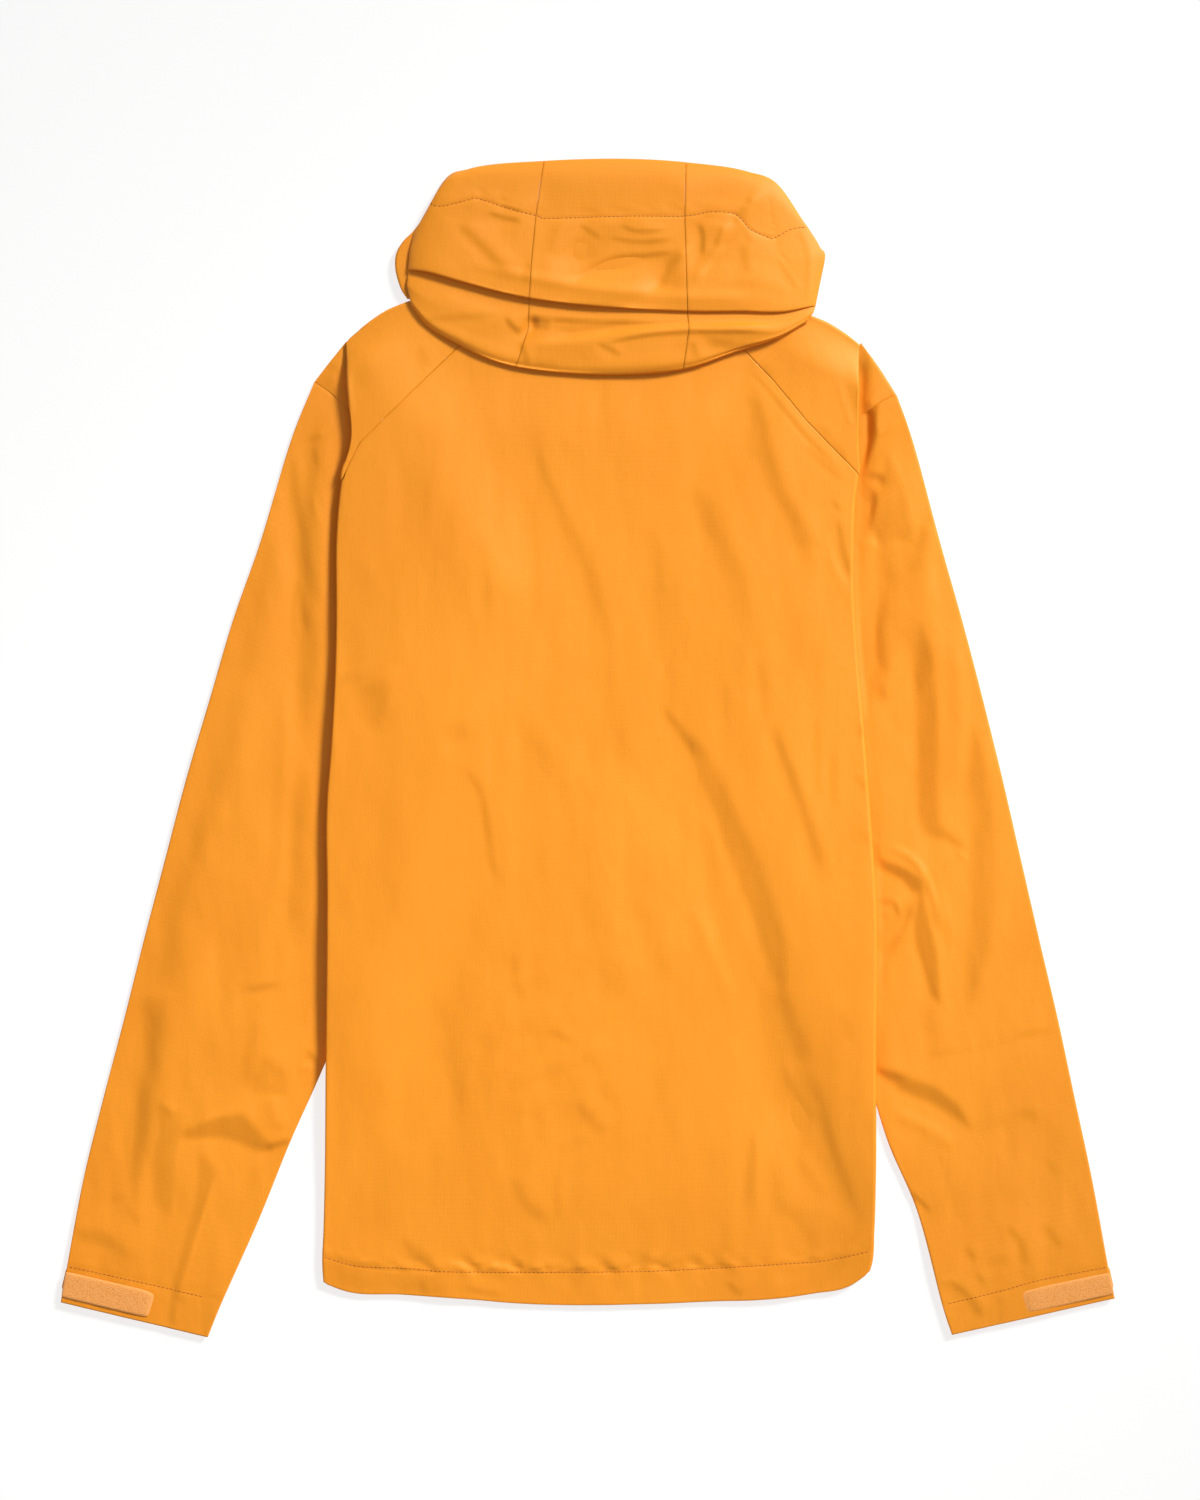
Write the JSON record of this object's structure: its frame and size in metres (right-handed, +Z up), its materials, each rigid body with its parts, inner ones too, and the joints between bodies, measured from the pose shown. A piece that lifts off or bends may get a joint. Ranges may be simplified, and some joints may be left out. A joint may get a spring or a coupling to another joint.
{
  "type": "rain jacket",
  "caption": "Hooded raglan rain jacket lying flat with its front down, sleeves slightly apart, hood slumped over the neck, sides folded under, zip on the side it lies on.",
  "frame": {"origin": "on the surface the jacket lies on, under the middle of its outline", "axes": "+X to the right of the back view, +Y from the hem towards the hood, +Z up from the surface, out of the jacket's back"},
  "size_m": [0.8034, 0.895, 0.0154],
  "materials": {
    "shell": "fine plain-woven rain shell cloth, matte with a soft sheen",
    "patch": "soft loop pile on a knitted backing, matte",
    "zip_tape": "close-woven zip tape, matte",
    "zip_chain": "moulded zip teeth, satin",
    "slider": "painted zinc slider and pull tab, satin"
  },
  "bodies": {
    "jacket": {"back_panel": "shell", "front_left": "shell", "front_right": "shell", "sleeve_left": "shell", "sleeve_right": "shell", "yoke_tip_left": "shell", "yoke_tip_right": "shell", "yoke_left": "shell", "yoke_right": "shell", "cuff_patch_left": "patch", "cuff_patch_right": "patch", "cuff_tab_left": "shell", "cuff_tab_right": "shell", "collar_left": "shell", "collar_right": "shell", "hood_left": "shell", "hood_centre": "shell", "hood_right": "shell", "hood_folds": "shell", "zip_tape": "zip_tape", "zip_chain": "zip_chain", "zip_slider": "slider"},
    "pull": {"zip_pull": "slider"}
  },
  "joints": [
    {"name": "pull_hinge", "type": "hinge", "parent": "jacket", "child": "pull", "pos_m": [0.009, 0.3665, 0.00135], "axis": [1, 0, 0], "range_deg": [0, 170]}
  ]
}
